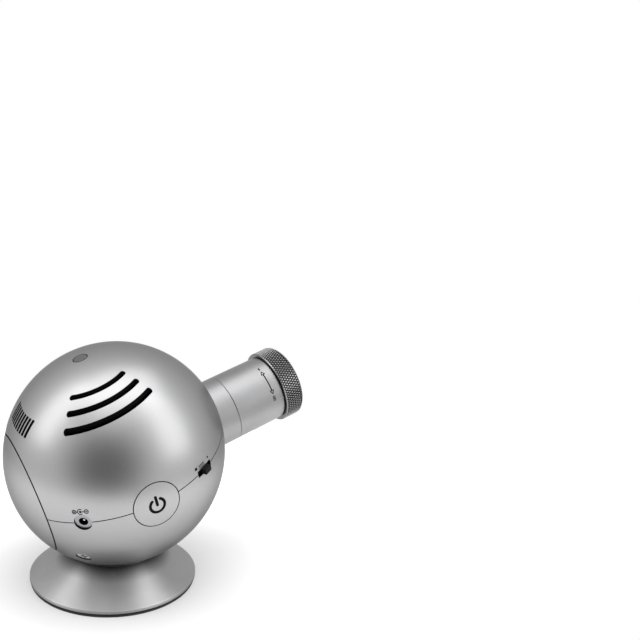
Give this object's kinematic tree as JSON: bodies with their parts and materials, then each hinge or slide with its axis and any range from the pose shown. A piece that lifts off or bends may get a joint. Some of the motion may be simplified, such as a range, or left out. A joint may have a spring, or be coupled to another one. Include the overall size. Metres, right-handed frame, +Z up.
{
  "type": "projection alarm clock",
  "caption": "Ball-shaped projection alarm clock with a focusing tube, resting on a turned foot; the ball tilts and swivels, and the rear cover hides setting knobs.",
  "frame": {"origin": "centre of the foot's bottom face", "axes": "+Z up; the tube points along +X, raised 19.8 degrees at rest; the power button faces -Y"},
  "size_m": [0.1746, 0.12, 0.1319],
  "materials": {
    "silver_shell": "silver metallic lacquer, satin",
    "foot_metal": "turned, silver lacquer, satin",
    "tube_aluminium": "turned and anodised, satin",
    "ring_aluminium": "knurled and anodised, darker grey",
    "steel": "zinc plated",
    "bright_steel": "nickel plated, bright",
    "ballast": "as cast",
    "rubber": "matt black",
    "black_plastic": "matt black",
    "grained_grey": "fine grained dark grey",
    "jack_grey": "grey, half gloss",
    "white_plastic": "matt white",
    "knob_red": "matt red",
    "board_green": "green solder resist",
    "led_red": "clear red",
    "dial_black": "matt black with pale figures",
    "hand_pale": "pale matt lacquer",
    "brass": "turned",
    "cell_jacket": "printed film",
    "lens_black": "matt black",
    "lens_glass": "polished, coated"
  },
  "bodies": {
    "base": {"base_dish": "foot_metal", "base_plate": "steel", "base_ballast": "ballast", "base_screws": "steel", "foot_pad": "rubber", "pivot_screw": "steel"},
    "swivel": {"swivel_ring": "black_plastic", "seat_pad": "rubber"},
    "ball": {"upper_shell": "silver_shell", "lower_shell": "silver_shell", "shell_screws": "steel", "rear_panel": "black_plastic", "panel_screws": "bright_steel", "tube_collar": "tube_aluminium", "collar_screws": "steel", "tube_barrel": "tube_aluminium", "ring_clip": "steel", "friction_washer": "rubber", "clock_frame": "steel", "frame_pillars": "steel", "movement": "black_plastic", "movement_nut": "brass", "dial": "dial_black", "led_board": "board_green", "leds": "led_red", "reflector": "white_plastic", "main_board": "board_green", "board_screws": "steel", "dc_jack": "jack_grey", "jack_pin": "bright_steel", "power_switch": "black_plastic", "mode_switch": "black_plastic", "buzzer": "black_plastic", "snooze_board": "board_green", "snooze_switch": "black_plastic", "battery_cell": "cell_jacket", "battery_contacts": "bright_steel"},
    "power_key": {"power_button": "silver_shell"},
    "snooze_key": {"snooze_button": "grained_grey"},
    "mode_slider": {"mode_knob": "black_plastic"},
    "cover": {"rear_cover": "silver_shell"},
    "time_setter": {"time_knob": "white_plastic"},
    "alarm_setter": {"alarm_knob": "knob_red"},
    "hours": {"hour_hand": "hand_pale"},
    "minutes": {"minute_hand": "hand_pale"},
    "seconds": {"second_hand": "hand_pale"},
    "ring": {"focus_ring": "ring_aluminium"},
    "carrier": {"lens_carrier": "lens_black", "front_lens": "lens_glass", "rear_lens": "lens_glass", "lens_spacer": "lens_black", "lens_retainer": "lens_black"}
  },
  "joints": [
    {"name": "foot_swivel", "type": "hinge", "parent": "base", "child": "swivel", "pos_m": [0, 0, 0.0719], "axis": [0, 0, 1], "continuous": true},
    {"name": "ball_tilt", "type": "hinge", "parent": "swivel", "child": "ball", "pos_m": [0, 0, 0.0719], "axis": [0, -1, 0], "range_deg": [-35, 70]},
    {"name": "power_press", "type": "slide", "parent": "ball", "child": "power_key", "axis": [-0.0141, 0.9809, 0.1938], "range_m": [0, 0.001], "stiffness_N_per_m": 1500, "springref_m": -0.0008},
    {"name": "snooze_press", "type": "slide", "parent": "ball", "child": "snooze_key", "axis": [0.3944, 0.1377, -0.9086], "range_m": [0, 0.001], "stiffness_N_per_m": 1500, "springref_m": -0.0008},
    {"name": "mode_slide", "type": "slide", "parent": "ball", "child": "mode_slider", "axis": [0.8078, 0.449, 0.3819], "range_m": [-0.002, 0.002]},
    {"name": "cover_pull", "type": "slide", "parent": "ball", "child": "cover", "axis": [-0.9409, 0, -0.3387], "range_m": [0, 0.03]},
    {"name": "focus_turn", "type": "hinge", "parent": "ball", "child": "ring", "pos_m": [0.00216, 0.00122, 0.06589], "axis": [0.9409, 0, 0.3387], "range_deg": [-120, 120]},
    {"name": "focus_shift", "type": "slide", "parent": "ball", "child": "carrier", "axis": [0.9409, 0, 0.3387], "range_m": [-0.0016, 0.0016]},
    {"name": "minute_turn", "type": "hinge", "parent": "ball", "child": "minutes", "pos_m": [0.00216, 0.00122, 0.06589], "axis": [0.9409, 0, 0.3387], "continuous": true},
    {"name": "hour_turn", "type": "hinge", "parent": "ball", "child": "hours", "pos_m": [0.00216, 0.00122, 0.06589], "axis": [0.9409, 0, 0.3387], "continuous": true},
    {"name": "second_turn", "type": "hinge", "parent": "ball", "child": "seconds", "pos_m": [0.00216, 0.00122, 0.06589], "axis": [0.9409, 0, 0.3387], "continuous": true},
    {"name": "time_set", "type": "hinge", "parent": "ball", "child": "time_setter", "pos_m": [0.00216, 0.00122, 0.06589], "axis": [0.9409, 0, 0.3387], "continuous": true},
    {"name": "alarm_set", "type": "hinge", "parent": "ball", "child": "alarm_setter", "pos_m": [0.00225, 0.01857, 0.06566], "axis": [0.9409, 0, 0.3387], "continuous": true}
  ],
  "couplings": [
    {"joint": "hour_turn", "follows": "minute_turn", "ratio": 0.083333},
    {"joint": "time_set", "follows": "minute_turn", "ratio": 1},
    {"joint": "focus_shift", "follows": "focus_turn", "m_per_rad": 0.00076}
  ]
}
